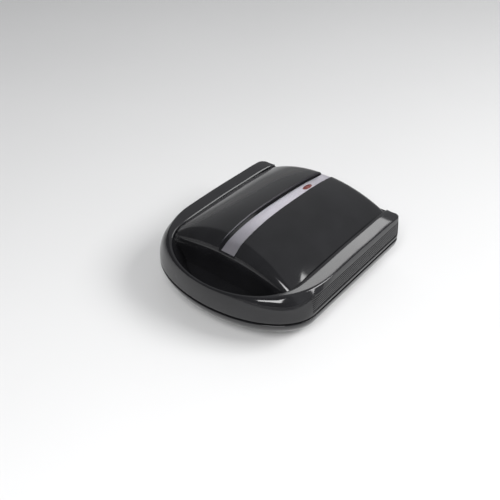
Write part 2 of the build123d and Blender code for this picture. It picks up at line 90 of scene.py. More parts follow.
def makeActive(piece):
    deselectAll()
    piece.select_set(True)
    bpy.context.view_layer.objects.active = piece


def applyModifier(piece, kind, **settings):
    makeActive(piece)
    modifier = piece.modifiers.new(kind.title(), kind)
    for name, value in settings.items():
        setattr(modifier, name, value)
    bpy.ops.object.modifier_apply(modifier=modifier.name)


def gridSheet(name, rows):
    # a grid primitive, shaped by moving its points to rows x columns of drawing millimetres
    rowCount, columnCount = len(rows), len(rows[0])
    deselectAll()
    bpy.ops.mesh.primitive_grid_add(x_subdivisions=columnCount - 1, y_subdivisions=rowCount - 1, size=1)
    piece = bpy.context.object
    piece.name = piece.data.name = name
    flat = [place(*point) for row in rows for point in row]
    piece.data.vertices.foreach_set("co", np.array(flat, np.float32).ravel())
    bpy.ops.object.mode_set(mode="EDIT")
    bpy.ops.mesh.select_all(action="SELECT")
    bpy.ops.mesh.remove_doubles(threshold=0.00002)
    bpy.ops.mesh.dissolve_degenerate(threshold=0.00001)
    bpy.ops.mesh.normals_make_consistent(inside=False)
    bpy.ops.object.mode_set(mode="OBJECT")
    return piece


def softShade(piece, angle=32):
    makeActive(piece)
    bpy.ops.object.shade_smooth_by_angle(angle=math.radians(angle))


def finishPiece(piece, body, slot, material, *replaced):
    piece.data.materials.clear()
    piece.data.materials.append(material)
    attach(piece, body)
    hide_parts(*replaced)


# materials: each one starts from the same small set of helpers

def startMaterial(name):
    material = bpy.data.materials.new(name)
    material.use_nodes = True
    tree = material.node_tree
    shader = tree.nodes["Principled BSDF"]
    return material, tree, shader


def objectPattern(tree, scale, stretch=(1, 1, 1), **values):
    # noise on the piece's own coordinates
    coordinates = tree.nodes.new("ShaderNodeTexCoord")
    mapping = tree.nodes.new("ShaderNodeMapping")
    mapping.inputs["Scale"].default_value = stretch
    pattern = tree.nodes.new("ShaderNodeTexNoise")
    pattern.inputs["Scale"].default_value = scale
    for key, value in values.items():
        pattern.inputs[key].default_value = value
    tree.links.new(coordinates.outputs["Object"], mapping.inputs["Vector"])
    tree.links.new(mapping.outputs["Vector"], pattern.inputs["Vector"])
    return pattern.outputs[0]


def ramp(tree, source, low, high, start=0.3, end=0.7):
    node = tree.nodes.new("ShaderNodeValToRGB")
    node.color_ramp.elements[0].position, node.color_ramp.elements[1].position = start, end
    node.color_ramp.elements[0].color = (*low, 1)
    node.color_ramp.elements[1].color = (*high, 1)
    tree.links.new(source, node.inputs["Fac"])
    return node.outputs["Color"]


def span(tree, source, low, high, start=0.3, end=0.7):
    node = tree.nodes.new("ShaderNodeMapRange")
    for key, value in (("From Min", start), ("From Max", end), ("To Min", low), ("To Max", high)):
        node.inputs[key].default_value = value
    tree.links.new(source, node.inputs["Value"])
    return node.outputs["Result"]


def bump(tree, shader, source, strength, distance):
    node = tree.nodes.new("ShaderNodeBump")
    node.inputs["Strength"].default_value = strength
    node.inputs["Distance"].default_value = distance
    tree.links.new(source, node.inputs["Height"])
    tree.links.new(node.outputs["Normal"], shader.inputs["Normal"])


def colour(tree, shader, source, dark, light, start=0.3, end=0.7):
    tree.links.new(ramp(tree, source, dark, light, start, end), shader.inputs["Base Color"])


def roughness(tree, shader, source, low, high):
    tree.links.new(span(tree, source, low, high), shader.inputs["Roughness"])


blackGlossLook = {"dark": (0.0095, 0.0095, 0.0105), "light": (0.013, 0.013, 0.0145),
                  "roughness": (0.07, 0.12)}


def blackGlossMaterial():
    material, tree, shader = startMaterial("blackGloss")
    cloud = objectPattern(tree, 28, Detail=4)
    colour(tree, shader, cloud, blackGlossLook["dark"], blackGlossLook["light"])
    smear = objectPattern(tree, 60, Detail=6, Roughness=0.6)
    roughness(tree, shader, smear, *blackGlossLook["roughness"])
    waves = objectPattern(tree, 170, Detail=1)  # the slight wave of a moulded face
    bump(tree, shader, waves, 0.05, 0.0001)
    shader.inputs["IOR"].default_value = 1.5
    return material


stripLook = {"dark": (0.44, 0.42, 0.47), "light": (0.68, 0.66, 0.71), "roughness": (0.34, 0.48),
             "stretch": (5200, 55, 2600)}  # streaks that run along the strip


def brushedStripMaterial():
    material, tree, shader = startMaterial("brushedStrip")
    streaks = objectPattern(tree, 1.0, stretch=stripLook["stretch"], Detail=3, Roughness=0.7)
    colour(tree, shader, streaks, stripLook["dark"], stripLook["light"], 0.28, 0.72)
    roughness(tree, shader, streaks, *stripLook["roughness"])
    bump(tree, shader, streaks, 0.25, 0.00004)
    shader.inputs["Metallic"].default_value = 1
    return material


lensLook = {"dark": (0.13, 0.022, 0.018), "light": (0.19, 0.040, 0.032), "roughness": (0.22, 0.3)}


def lensMaterial():
    material, tree, shader = startMaterial("lensRed")
    cloud = objectPattern(tree, 240, Detail=2)
    colour(tree, shader, cloud, lensLook["dark"], lensLook["light"])
    roughness(tree, shader, cloud, *lensLook["roughness"])
    shader.inputs["Coat Weight"].default_value = 0.3
    shader.inputs["Coat Roughness"].default_value = 0.12
    return material


castLook = {"dark": (0.016, 0.016, 0.017), "light": (0.075, 0.073, 0.070), "roughness": (0.30, 0.44)}


def castDarkMaterial():
    material, tree, shader = startMaterial("castDark")
    specks = objectPattern(tree, 900, Detail=3, Roughness=0.6)
    colour(tree, shader, specks, castLook["dark"], castLook["light"], 0.45, 0.85)
    cloud = objectPattern(tree, 35, Detail=5)
    roughness(tree, shader, cloud, *castLook["roughness"])
    bump(tree, shader, specks, 0.18, 0.00012)
    return material


steelLooks = {
    "heaterSteel": {"dark": (0.16, 0.13, 0.11), "light": (0.36, 0.32, 0.29),
                    "roughness": (0.34, 0.55), "stretch": (60, 60, 60)},
    "sheetSteel": {"dark": (0.50, 0.50, 0.51), "light": (0.68, 0.68, 0.69),
                   "roughness": (0.22, 0.38), "stretch": (30, 700, 30)},
    "screwSteel": {"dark": (0.40, 0.40, 0.42), "light": (0.60, 0.60, 0.62),
                   "roughness": (0.25, 0.42), "stretch": (300, 300, 300)},
}


def steelMaterial(name):
    look = steelLooks[name]
    material, tree, shader = startMaterial(name)
    grain = objectPattern(tree, 1.0, stretch=look["stretch"], Detail=5, Roughness=0.65)
    colour(tree, shader, grain, look["dark"], look["light"])
    roughness(tree, shader, grain, *look["roughness"])
    bump(tree, shader, grain, 0.12, 0.0001)
    shader.inputs["Metallic"].default_value = 1
    return material


innerPlasticLook = {"dark": (0.62, 0.60, 0.55), "light": (0.74, 0.72, 0.67), "roughness": (0.45, 0.6)}


def innerPlasticMaterial():
    material, tree, shader = startMaterial("innerPlastic")
    cloud = objectPattern(tree, 90, Detail=4)
    colour(tree, shader, cloud, innerPlasticLook["dark"], innerPlasticLook["light"])
    roughness(tree, shader, cloud, *innerPlasticLook["roughness"])
    bump(tree, shader, objectPattern(tree, 1400, Detail=2), 0.15, 0.00008)
    return material


rubberLook = {"dark": (0.014, 0.014, 0.014), "light": (0.03, 0.03, 0.03), "roughness": (0.6, 0.8)}


def footRubberMaterial():
    material, tree, shader = startMaterial("footRubber")
    cloud = objectPattern(tree, 120, Detail=4)
    colour(tree, shader, cloud, rubberLook["dark"], rubberLook["light"])
    roughness(tree, shader, cloud, *rubberLook["roughness"])
    bump(tree, shader, objectPattern(tree, 1600, Detail=2), 0.3, 0.0001)
    return material


lampGlassLook = {"dark": (0.86, 0.80, 0.74), "light": (0.95, 0.92, 0.88), "roughness": (0.03, 0.09)}


def lampGlassMaterial():
    material, tree, shader = startMaterial("lampGlass")
    cloud = objectPattern(tree, 200, Detail=2)
    colour(tree, shader, cloud, lampGlassLook["dark"], lampGlassLook["light"])
    roughness(tree, shader, cloud, *lampGlassLook["roughness"])
    shader.inputs["Transmission Weight"].default_value = 0.9
    return material


materials = {
    "black_gloss": blackGlossMaterial(),
    "trim_silver": brushedStripMaterial(),
    "lens_red": lensMaterial(),
    "lamp_glass": lampGlassMaterial(),
    "cast_dark": castDarkMaterial(),
    "heater_steel": steelMaterial("heaterSteel"),
    "sheet_steel": steelMaterial("sheetSteel"),
    "screw_steel": steelMaterial("screwSteel"),
    "inner_plastic": innerPlasticMaterial(),
    "foot_rubber": footRubberMaterial(),
}
for part in frame["record"]["subparts"]:
    node = nodes[part["node"]]
    node.data.materials.clear()
    node.data.materials.append(materials[part["material_slot"]])
print("materials on the packed nodes")


# lid cover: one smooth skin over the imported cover, with the sunk channel in it

cover = {
    "planHalf": 98.4,  # half the width at the seam
    "planStart": 203.36,  # where the front outline starts to curve in
    "planFront": 268.6,
    "archHalf": 99.3,
    "archSag": 31.8,
    "wallFoot": 4.6,  # lower edge of the front wall
    "seat": 31.3,
    "channelRear": 11.0,  # half the channel's width at its rear end and at its front
    "channelFront": 13.5,
    "channelDepth": 7.1,
    "thickness": 2.2,
    # depth behind the rear rim edge, crown height, edge height
    "lines": [(1, 44, 24), (2.3, 51, 28), (7, 57, 31.9), (18, 60.6, 34.1), (50, 64.8, 36.2), (100, 68, 37.2),
              (147, 68.8, 37.2), (180, 66.4, 36.6), (203, 62, 35), (214, 58.2, 33), (221.5, 52, 29.6),
              (225.6, 44.5, 24), (227, 36, 18)],
    "lipStart": 226.9,  # from here the cover's edge keeps clear of the finger opening
    "lipRise": 8,
    "fit": 0.5,
    "rows": 110,
    "columns": 44,
}
opening = {"start": 203.36, "lowZ": 1.5, "lowHalf": 82, "lowFront": 253, "highZ": 29.8, "highHalf": 99.3,
           "highFront": 269.5, "rear": 227}


def openingHalf(depth, z, grow=0.0):
    # half width of the cone-shaped finger opening at a depth and height
    share = (z - opening["lowZ"]) / (opening["highZ"] - opening["lowZ"])
    half = opening["lowHalf"] + share * (opening["highHalf"] - opening["lowHalf"])
    reach = opening["lowFront"] + share * (opening["highFront"] - opening["lowFront"]) - opening["start"]
    return (half + grow) * math.sqrt(max(0.0, 1 - ((depth - opening["start"]) / reach) ** 2))


def coverHalf(depth):
    if depth < cover["planStart"]:
        return cover["planHalf"]
    reach = cover["planFront"] - cover["planStart"]
    return cover["planHalf"] * math.sqrt(max(0.0, 1 - ((depth - cover["planStart"]) / reach) ** 2))


def arch(x):
    radius = (cover["archHalf"] ** 2 + cover["archSag"] ** 2) / (2 * cover["archSag"])
    return (math.sqrt(radius**2 - x**2) - (radius - cover["archSag"])) / cover["archSag"]


def channelHalf(depth):
    share = depth / opening["rear"]
    return cover["channelRear"] + share * (cover["channelFront"] - cover["channelRear"])


crownLine, crownLength = smoothCurve(cover["lines"], 2)


def channelFloor(depth, crown):
    if depth < 18:
        return 60.6 - cover["channelDepth"] - 5.0 * ((18 - depth) / 28) ** 1.3
    if depth > 214:
        return 58.2 - cover["channelDepth"] - 0.56 * (depth - 214)
    return crown - cover["channelDepth"]


def coverRow(depth, crown, edge, half, drop=None):
    # one row of points across the cover, with the channel's walls and floor in the middle
    inner = channelHalf(depth)
    floorZ = channelFloor(depth, crown)
    shares = [1 - (1 - i / cover["columns"]) ** 1.15 for i in range(cover["columns"] + 1)]
    side = [half - share * (half - inner) for share in shares]

    def surface(x):
        z = edge + (crown - edge) * arch(x)
        return z if drop is None else min(z, drop)

    left = [(-x, -depth, surface(x)) for x in side]
    floor = []
    for i in range(9):
        x = -inner + 2 * inner * i / 8
        floor.append((x, -depth, min(floorZ, surface(x))))
    skirt = min(surface(half) - 0.05, cover["seat"] - 0.3)
    right = [(-x, y, z) for x, y, z in reversed(left)]
    return [(-half, -depth, skirt)] + left + floor + right + [(half, -depth, skirt)]


def lidCoverSkin():
    rows = [coverRow(0.9, cover["lines"][0][1], cover["lines"][0][2], coverHalf(1), drop=cover["seat"])]
    for i in range(cover["rows"] + 1):
        depth, crown, edge = crownLine(crownLength * i / cover["rows"])
        depth = min(depth, opening["rear"])
        half = coverHalf(depth)
        if depth > cover["lipStart"]:
            lip = max(edge, cover["wallFoot"]) + cover["lipRise"]
            half = min(half, openingHalf(depth, lip, -cover["fit"]))
        rows.append(coverRow(depth, crown, edge, half))
    last, frontHalf = rows[-1], coverHalf(opening["rear"])
    for i in range(1, 13):  # the front wall goes down to its foot in equal steps
        row = []
        for x, y, z in last:
            newZ = z + i / 12 * (cover["wallFoot"] - z)
            limit = openingHalf(opening["rear"], newZ, -cover["fit"])
            row.append((x / frontHalf * min(limit, frontHalf), y, newZ))
        rows.append(row)
    piece = gridSheet("lidCoverSkin", rows)
    applyModifier(piece, "SOLIDIFY", thickness=cover["thickness"] / 1000, offset=-1)
    softShade(piece, 34)
    finishPiece(piece, "lid", "black_gloss", materials["black_gloss"], "lid_cover")
    print("lid cover", len(piece.data.polygons), "faces")


lidCoverSkin()

# lid frame: one closed section swept round the rear corners, the side rails and the front grip

band = {
    # height, draw of the half width, how far the front starts behind, how far its tip lies behind
    "draft": [(1.5, 0, 0, 0.2), (12, 0.3, 2, 1.1), (22, 0.8, 8, 2.7), (30, 1.4, 20, 4.7), (36, 2, 38, 6.9),
              (44, 2.8, 66, 10.5)],
    "half": 125, "start": 206, "front": 277.5, "corner": 12,
    # depth, height of the rail's top
    "railTop": [(-12, 30.5), (0, 33.5), (50, 37), (100, 38), (150, 37.6), (190, 36.6), (225, 34.7),
                (269.5, 29.8), (289.5, 26.8)],
    "inner": 99.3, "plateEdge": 108.5, "deckTop": 5.0, "low": 1.5,
    "panel": {"rear": 8, "front": 212, "low": 5.5, "high": 29, "depth": 0.8, "groove": 0.6, "pitch": 3.0,
              "rib": 1.6, "slope": 0.1},
    "rayCentre": 186,
    # the outer edge is sharp on the rails and rounds off on the front grip
    "railRound": 1.4, "gripRound": 4.6, "roundFrom": 222, "roundOver": 36, "footRound": 0.8, "crease": 1.0,
}
frameBlocks = {
    # two corners and the bevel of each plain block behind the ring
    "rearWall": ((-band["inner"], -2.6, 1.5), (band["inner"], 0, 31.3), 0.3),
    "frontDeck": ((-band["inner"], -227, 1.55), (band["inner"], -212.5, 4.1), 0.2),
    "rearDeck": ((-band["inner"] - 6, -10.5, 1.55), (band["inner"] + 6, -2.4, 4.1), 0.2),
    "web": ((-42.5, -1.2, 1.6), (42.5, 7.5, 6.4), 0.3),
}
barrel = {"centre": (0, 8, 0), "radius": 6.5, "length": 86}
draftLine, _ = smoothCurve(band["draft"], 1)
railLine, _ = smoothCurve(band["railTop"], 1)


def ease(share):
    share = min(1.0, max(0.0, share))
    return share * share * (3 - 2 * share)


def railTop(depth):
    return float(railLine(depth + 12)[1])


def bandOutline(z):
    _, draw, back, tip = draftLine(z - 1.5)
    return band["half"] - draw, band["start"] - back, band["front"] - tip


def halfAtDepth(half, start, front, depth):
    if depth <= start:
        return half
    return half * math.sqrt(max(0.0, 1 - ((depth - start) / (front - start)) ** 2))


def rayPoint(half, start, front, angle):
    # where a ray from the middle of the body meets an outline
    centre = band["rayCentre"]
    c, s = math.cos(angle), math.sin(angle)
    if c > 1e-6 and centre + half * s / c <= start:
        return half, centre + half * s / c
    reach, offset = front - start, centre - start
    a = (c / half) ** 2 + (s / reach) ** 2
    b = 2 * s * offset / reach**2
    k = (offset / reach) ** 2 - 1
    t = (-b + math.sqrt(b * b - 4 * a * k)) / (2 * a)
    return t * c, centre + t * s


def frameStations():
    # places round one half of the ring, from the rear wall's end to the tip of the grip
    stations = [("rear", i / 4) for i in range(4)]
    stations += [("corner", math.radians(90 - 90 * i / 10)) for i in range(11)]
    sideLength = band["rayCentre"] - band["corner"]
    stations += [("side", band["corner"] + sideLength * i / 30) for i in range(1, 30)]
    stations += [("front", math.radians(90) * i / 72) for i in range(73)]
    return stations


def outerPoint(station, z, inset):
    kind, value = station
    half, start, front = bandOutline(z)
    corner = band["corner"]
    if kind == "rear":
        return band["inner"] + value * (half - corner - band["inner"]), inset
    if kind == "corner":
        return half - corner + (corner - inset) * math.cos(value), corner - (corner - inset) * math.sin(value)
    if kind == "side":
        return halfAtDepth(half, start, front, value) - inset, value
    x, depth = rayPoint(half, start, front, value)
    return x - inset * math.cos(value), depth - inset * math.sin(value)


def innerPoint(station, z):
    kind, value = station
    if kind == "rear":
        return band["inner"], 0.6 * value
    if kind == "corner":
        return band["inner"], 0.6 + 11.4 * (1 - value / math.radians(90))
    if kind == "side":
        return band["inner"], value
    share = (z - opening["lowZ"]) / (opening["highZ"] - opening["lowZ"])
    blend = ease(value / math.radians(24))
    half = band["inner"] + blend * (1 - share) * (opening["lowHalf"] - opening["highHalf"])
    front = opening["highFront"] + blend * (1 - share) * (opening["lowFront"] - opening["highFront"])
    if share > 1:
        half, front = opening["highHalf"], opening["highFront"]
    return rayPoint(half, opening["start"], front, value)


def panelRows():
    # heights and depths of the ribbed panel, from its low edge to its high edge
    panel = band["panel"]
    face, groove, slope = panel["depth"], panel["depth"] + panel["groove"], panel["slope"]
    rows = [(panel["low"] - 0.05, 0), (panel["low"], face)]
    z = panel["low"]
    while z + panel["pitch"] < panel["high"]:
        rows += [(z + panel["rib"], face), (z + panel["rib"] + slope, groove),
                 (z + panel["pitch"] - slope, groove), (z + panel["pitch"], face)]
        z += panel["pitch"]
    return rows + [(panel["high"], face), (panel["high"] + 0.05, 0)]


def frameSection(station, panelShare):
    # one closed section of the ring: ledge, foot, ribbed side, rounded edge, top and inner wall
    top = railTop(innerPoint(station, 30)[1])
    low, foot = band["low"], band["footRound"]
    squeeze = min(1.0, (top - 4.2) / 29.3)  # the ribs close up where the grip is lower
    inX, inDepth = innerPoint(station, top)
    outX, outDepth = outerPoint(station, top, 0)
    width = math.hypot(outX - inX, outDepth - inDepth)
    radius = band["railRound"] + band["gripRound"] * ease((outDepth - band["roundFrom"]) / band["roundOver"])
    radius = min(radius, 0.55 * width)
    crease = min(band["crease"], 0.3 * width)
    footDepth = innerPoint(station, low)[1]
    footZ = low + (band["deckTop"] - low) * min(1.0, max(0.0, (220 - footDepth) / 8))
    footX, footY = innerPoint(station, footZ)
    lowX, lowY = outerPoint(station, low, foot)
    gap = math.hypot(lowX - footX, lowY - footY)
    inward = min(band["plateEdge"] - band["inner"], 0.6 * gap) / max(gap, 1e-6) if footZ > low + 0.01 else 0
    ledge = (footX + inward * (lowX - footX), footY + inward * (lowY - footY))
    points = [(footX, footY, footZ), (*ledge, footZ), (*ledge, low), (lowX, lowY, low)]
    shrink = min(1.0, width / 3)
    for angle in (30, 60, 90):
        turn = math.radians(angle)
        z = low + foot * (1 - math.cos(turn))
        points.append((*outerPoint(station, z, foot * (1 - math.sin(turn)) * shrink), z))
    for z, depth in panelRows():
        z = min(low + foot + (z - low - foot) * squeeze, top - radius - 0.1)
        points.append((*outerPoint(station, z, depth * panelShare), z))
    for step in range(9):
        turn = math.radians(90 * step / 8)
        z = top - radius + radius * math.sin(turn)
        points.append((*outerPoint(station, z, radius * (1 - math.cos(turn))), z))
    edgeX, edgeDepth, _ = points[-1]
    nearX = inX + (edgeX - inX) * crease / max(width, 1e-6)
    nearDepth = inDepth + (edgeDepth - inDepth) * crease / max(width, 1e-6)
    for i in range(1, 5):
        points.append((edgeX + (nearX - edgeX) * i / 4, edgeDepth + (nearDepth - edgeDepth) * i / 4, top))
    for turn in (45, 90):
        c, s = 1 - math.sin(math.radians(turn)), 1 - math.cos(math.radians(turn))
        points.append((inX + (nearX - inX) * c, inDepth + (nearDepth - inDepth) * c, top - crease * s))
    for i in range(1, 9):
        z = top - crease + (footZ - top + crease) * i / 8
        points.append((*innerPoint(station, z), z))
    points[-1] = points[0]
    return points


def joinPieces(main, others):
    deselectAll()
    for other in others:
        other.select_set(True)
    main.select_set(True)
    bpy.context.view_layer.objects.active = main
    bpy.ops.object.join()
    return main


def roundedBox(name, low, high, radius, segments=2):
    # a box between two corners, with its edges bevelled
    centre = [(a + b) / 2 for a, b in zip(low, high)]
    deselectAll()
    bpy.ops.mesh.primitive_cube_add(size=1, location=place(*centre))
    piece = bpy.context.object
    piece.name = name
    piece.dimensions = [(b - a) / 1000 for a, b in zip(low, high)]
    bpy.ops.object.transform_apply(location=True, rotation=True, scale=True)
    bpy.ops.object.mode_set(mode="EDIT")
    bpy.ops.mesh.select_all(action="SELECT")
    if radius:
        bpy.ops.mesh.bevel(offset=radius / 1000, segments=segments, profile=0.5)
    bpy.ops.object.mode_set(mode="OBJECT")
    return piece


def bevelEdges(piece, width):
    # breaks the edges that are sharper than 50 degrees
    applyModifier(piece, "BEVEL", width=width / 1000, segments=2, limit_method="ANGLE",
                  angle_limit=math.radians(50))


def roundBar(name, centre, radius, length, sides=48, bevel=0.6):
    # a cylinder along X with bevelled ends
    deselectAll()
    bpy.ops.mesh.primitive_cylinder_add(vertices=sides, radius=radius / 1000, depth=length / 1000,
                                        location=place(*centre), rotation=(0, math.pi / 2, 0))
    piece = bpy.context.object
    piece.name = name
    bpy.ops.object.transform_apply(location=True, rotation=True, scale=True)
    bevelEdges(piece, bevel)
    return piece


def lidFrameSkin():
    panel = band["panel"]
    rows, ribbed = [], False
    for station in frameStations():
        depth = outerPoint(station, 10, 0)[1]
        inside = panel["rear"] < depth < panel["front"] and station[0] != "rear"
        if inside and not ribbed:  # the panel starts with a step on the same station
            rows.append(frameSection(station, 0.0))
        if ribbed and not inside:
            rows.append(frameSection(lastStation, 0.0))
        rows.append(frameSection(station, 1.0 if inside else 0.0))
        ribbed, lastStation = inside, station
    right = [[(x, -depth, z) for x, depth, z in row] for row in rows]
    left = [[(-x, y, z) for x, y, z in row] for row in right[-2::-1]]
    piece = gridSheet("lidFrameSkin", right + left)
    softShade(piece, 32)
    extras = [roundedBox(name, *block) for name, block in frameBlocks.items()]
    extras.append(roundBar("barrel", barrel["centre"], barrel["radius"], barrel["length"]))
    for extra in extras:
        softShade(extra, 40)
    joinPieces(piece, extras)
    finishPiece(piece, "lid", "black_gloss", materials["black_gloss"], "lid_frame")
    print("lid frame", len(piece.data.polygons), "faces")


lidFrameSkin()

# base housing: a lofted tub, cut open for the plate, the finger opening and the hand below the grip

tub = {
    # height, growth of the half width, start and tip of the front, rear
    "sections": [(-1.5, 0, 206, 277.4, 0), (-8, -1, 205, 275.8, 0.8), (-17, -5, 202, 270.5, 3.5),
                 (-28, -12, 196, 259, 8), (-39, -21, 188, 243, 14)],
    "top": -1.5, "foot": -39, "rimRound": 1.0, "footRound": 3.0, "levels": 28,
    "gripDepth": 17, "lean": 0.85, "wallRear": 222,
    # hollow for the plate and what lies under it, narrower at its floor
    "pocketHalf": 108.5, "pocketRear": 10.5, "pocketFront": 212.5, "pocketFloor": -36.2, "pocketTaper": 0.86,
    # hinge ears on both sides of the lid's barrel
    "earPlace": 50, "earWidth": 12, "earRadius": 6.5,
    # round pad and bore of the inlet bush, in metres, and their place behind the wall
    "padRadius": 0.0088, "padLength": 0.011, "boreRadius": 0.00505, "boreLength": 0.03, "padDepth": 7,
}
tubLine, _ = smoothCurve(tub["sections"], 1)


def tubSection(z, inset=0.0):
    # outline of the tub at one height, from the rear right round the front to the rear left
    _, grow, start, front, back = tubLine(tub["top"] - z)
    half, front, back = band["half"] + grow - inset, front - inset, back + inset
    corner = band["corner"]
    points = [(half - corner, back)]
    for i in range(1, 11):
        angle = math.radians(90 - 90 * i / 10)
        points.append((half - corner + corner * math.cos(angle), back + corner - corner * math.sin(angle)))
    points += [(half, back + corner + (start - back - corner) * i / 24) for i in range(1, 25)]
    for i in range(1, 61):
        angle = math.radians(90 * i / 60)
        points.append((half * math.cos(angle), start + (front - start) * math.sin(angle)))
    loop = [(x, -depth, z) for x, depth in points]
    return loop + [(-x, y, z) for x, y, z in loop[-2::-1]]


def tubRows():
    # from the rounded rim down the side to the rounded foot
    top, low, rim, foot = tub["top"], tub["foot"], tub["rimRound"], tub["footRound"]
    rows = []
    for i in range(5, -1, -1):
        turn = math.radians(90 * i / 5)
        rows.append(tubSection(top - rim * (1 - math.sin(turn)), rim * (1 - math.cos(turn))))
    for i in range(1, tub["levels"]):
        rows.append(tubSection(top - rim + (low + foot - top + rim) * i / tub["levels"]))
    for i in range(6):
        turn = math.radians(90 * i / 5)
        rows.append(tubSection(low + foot * (1 - math.sin(turn)), foot * (1 - math.cos(turn))))
    return rows


def closedLoft(name, rows):
    # rows of equal loops, each closed on itself, with the two ends filled
    closed = [row + [row[0]] for row in rows]
    piece = gridSheet(name, closed)
    makeActive(piece)
    bpy.ops.object.mode_set(mode="EDIT")
    bpy.ops.mesh.select_all(action="DESELECT")
    bpy.ops.mesh.select_non_manifold()
    bpy.ops.mesh.edge_face_add()
    bpy.ops.mesh.select_all(action="SELECT")
    bpy.ops.mesh.normals_make_consistent(inside=False)
    bpy.ops.object.mode_set(mode="OBJECT")
    return piece


def cutWith(piece, cutter, operation="DIFFERENCE"):
    applyModifier(piece, "BOOLEAN", object=cutter, operation=operation, solver="EXACT")
    bpy.data.objects.remove(cutter, do_unlink=True)


def prismAcross(name, outline, low, high):
    # an outline of (y, z) points, stretched along X
    rows = [[(x, y, z) for y, z in outline] for x in (low, high)]
    return closedLoft(name, rows)


def gripWall(z):
    # the sloping wall between the tub and the finger opening
    return -tub["wallRear"] + tub["lean"] * (tub["top"] - z)


def fingerOpening(low, high):
    # the space that the fingers need, as a cutter from one height to another
    reach = opening["lowFront"] - opening["start"]
    rows = []
    for z in (high, low):
        row = []
        for i in range(73):
            angle = math.radians(i * 180 / 72)
            y = -opening["start"] - reach * math.sin(angle)
            row.append((opening["lowHalf"] * math.cos(angle), min(y, gripWall(z)), z))
        rows.append(row)
    return closedLoft("fingerOpening", rows)


def platePocket():
    half, rear, front, low = tub["pocketHalf"], tub["pocketRear"], tub["pocketFront"], tub["pocketFloor"]
    piece = roundedBox("pocket", (-half, -front, low), (half, -rear, 2), 0)
    floorZ, middleY = place(0, 0, low)[2], place(0, -103, 0)[1]
    for point in piece.data.vertices:
        if abs(point.co.z - floorZ) < 1e-5:
            point.co.x *= tub["pocketTaper"]
            point.co.y = middleY + (point.co.y - middleY) * tub["pocketTaper"]
    return piece


def inletCylinder(name, radius, length):
    # a cylinder along Y where the inlet bush sits
    low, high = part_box("inlet_bush")
    centre = ((low.x + high.x) / 2, place(0, -tub["padDepth"], 0)[1], (low.z + high.z) / 2)
    deselectAll()
    bpy.ops.mesh.primitive_cylinder_add(vertices=48, radius=radius, depth=length, location=centre,
                                        rotation=(math.pi / 2, 0, 0))
    piece = bpy.context.object
    piece.name = name
    bpy.ops.object.transform_apply(location=True, rotation=True, scale=True)
    return piece


def lowerHousingSkin():
    piece = closedLoft("lowerHousingSkin", tubRows())
    grip = -tub["gripDepth"]
    outline = [(gripWall(grip), grip), (gripWall(-45), -45), (-300, -45), (-300, grip)]
    cutWith(piece, prismAcross("underGrip", outline, -140, 140))
    cutWith(piece, fingerOpening(grip - 2, 2.0))
    cutWith(piece, platePocket())
    extras = []
    for side in (-1, 1):
        middle, reach = side * tub["earPlace"], tub["earWidth"] / 2
        extras.append(roundBar("ear", (middle, 8, 0), tub["earRadius"], tub["earWidth"]))
        extras.append(roundedBox("earBlock", (middle - reach, -2, -7.5), (middle + reach, 9, -1.5), 0.4))
    pad = inletCylinder("inletPad", tub["padRadius"], tub["padLength"])
    bevelEdges(pad, 0.8)
    for target in (pad, piece):
        cutWith(target, inletCylinder("bore", tub["boreRadius"], tub["boreLength"]))
    softShade(piece, 30)
    extras.append(pad)
    for extra in extras:
        softShade(extra, 40)
    joinPieces(piece, extras)
    finishPiece(piece, "base", "black_gloss", materials["black_gloss"], "lower_housing")
    print("base housing", len(piece.data.polygons), "faces")


lowerHousingSkin()

# trim strip and indicator lens

strip = {"rear": 3.0, "end": 223.2, "rearHalf": 8.6, "frontHalf": 10.3, "thickness": 0.8, "edge": 0.15,
         "lift": 0.02, "rows": 90}
lens = {"sides": 72, "fit": 0.00012, "proud": 0.0002, "rise": 0.0006}  # in metres


def stripHalf(depth):
    return strip["rearHalf"] + (strip["frontHalf"] - strip["rearHalf"]) * depth / opening["rear"]


def crownAt(depth):
    # height of the crown line at a depth, by halving
    low, high = 0.0, crownLength
    for _ in range(40):
        middle = (low + high) / 2
        if crownLine(middle)[0] < depth:
            low = middle
        else:
            high = middle
    return float(crownLine(low)[1])


def trimStrip():
    rows = []
    for i in range(strip["rows"] + 1):
        depth = strip["rear"] + (strip["end"] - strip["rear"]) * i / strip["rows"]
        half, edge = stripHalf(depth), strip["edge"]
        low = channelFloor(depth, crownAt(depth)) + strip["lift"]
        top = low + strip["thickness"]
        row = [(-half, -depth, low), (-half, -depth, top - edge), (-half + edge, -depth, top)]
        row += [(-half + edge + 2 * (half - edge) * k / 8, -depth, top) for k in range(1, 8)]
        row += [(half - edge, -depth, top), (half, -depth, top - edge), (half, -depth, low)]
        rows.append(row)
    piece = closedLoft("trimStripSkin", rows)
    low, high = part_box("indicator_lens")
    deselectAll()
    bpy.ops.mesh.primitive_cylinder_add(vertices=lens["sides"], radius=1, depth=0.03,
                                        location=(low + high) / 2)
    cutter = bpy.context.object
    cutter.scale = ((high.x - low.x) / 2 + lens["fit"], (high.y - low.y) / 2 + lens["fit"], 1)
    bpy.ops.object.transform_apply(location=True, rotation=True, scale=True)
    cutWith(piece, cutter)
    softShade(piece, 30)
    finishPiece(piece, "lid", "trim_silver", materials["trim_silver"], "trim_strip")


